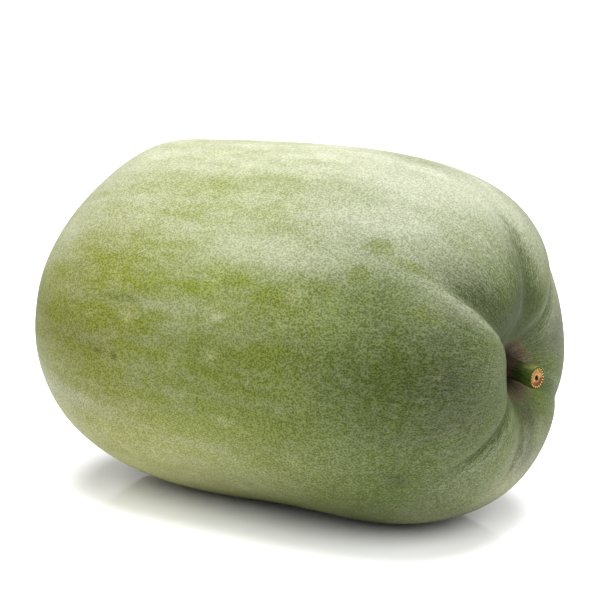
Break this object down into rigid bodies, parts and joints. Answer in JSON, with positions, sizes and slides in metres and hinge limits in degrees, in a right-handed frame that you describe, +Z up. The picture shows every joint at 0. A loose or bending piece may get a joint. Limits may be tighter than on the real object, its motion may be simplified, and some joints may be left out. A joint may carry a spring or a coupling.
{
  "type": "winter melon",
  "caption": "Large oblong winter melon lying on its side, with folds round a deep stem cavity and a short cut stem; a prop for kitchens, markets and still lifes.",
  "frame": {"origin": "on the surface it lies on, under the middle of the whole model's box", "axes": "+X along the fruit towards the stem end, +Z up, -Y the side that the picture shows"},
  "size_m": [0.3782, 0.2438, 0.2548],
  "materials": {
    "fruit_skin": "soft green rind with fine darker speckle under a thin whitish bloom",
    "stem": "dark green ribbed stalk with a tan cut face"
  },
  "bodies": {
    "root": {"fruit": "fruit_skin", "stem": "stem"}
  },
  "joints": []
}
